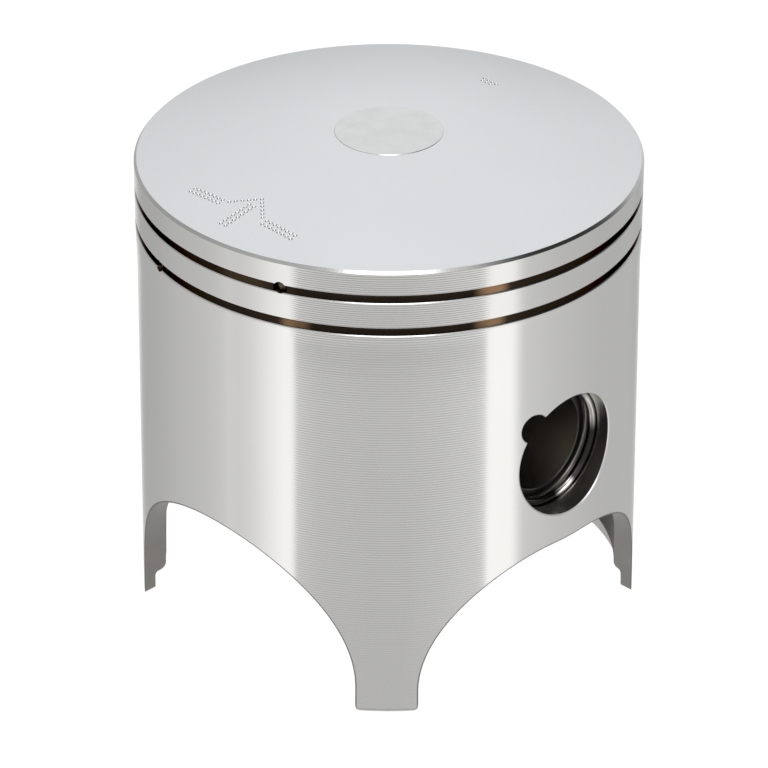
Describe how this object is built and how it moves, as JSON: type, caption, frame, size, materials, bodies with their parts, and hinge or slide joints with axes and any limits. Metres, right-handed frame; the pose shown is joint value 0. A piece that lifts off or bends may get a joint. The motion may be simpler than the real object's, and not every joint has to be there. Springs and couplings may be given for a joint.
{
  "type": "motorcycle piston",
  "caption": "Domed motorcycle piston with pinned rings, a full-floating wrist pin and wire circlips, intake and side cutaways and a full exhaust skirt.",
  "frame": {"origin": "on the piston axis, in the plane of the skirt's feet", "axes": "+Z along the piston axis towards the crown, X along the wrist pin axis, -Y towards the intake side where the ring pins are, +Y towards the full exhaust skirt"},
  "size_m": [0.0656, 0.0658, 0.0675],
  "materials": {
    "forged_alloy": "satin, finely turned",
    "ring_coat": "dark bronze-brown coating",
    "pin_coat": "polished black coating",
    "clip_wire": "bright drawn wire",
    "dowel_steel": "ground"
  },
  "bodies": {
    "piston": {"piston_body": "forged_alloy", "upper_ring_pin": "dowel_steel", "lower_ring_pin": "dowel_steel", "right_circlip": "clip_wire", "left_circlip": "clip_wire"},
    "upper_ring": {"upper_ring": "ring_coat"},
    "lower_ring": {"lower_ring": "ring_coat"},
    "wrist_pin": {"wrist_pin": "pin_coat"}
  },
  "joints": [
    {"name": "wrist_pin_spin", "type": "hinge", "parent": "piston", "child": "wrist_pin", "pos_m": [0, 0, 0.03292], "axis": [1, 0, 0], "continuous": true},
    {"name": "upper_ring_turn", "type": "hinge", "parent": "piston", "child": "upper_ring", "pos_m": [0, 0, 0.06054], "axis": [0, 0, 1], "range_deg": [-0.35, 0.35]},
    {"name": "lower_ring_turn", "type": "hinge", "parent": "piston", "child": "lower_ring", "pos_m": [0, 0, 0.05596], "axis": [0, 0, 1], "range_deg": [-0.35, 0.35]}
  ]
}
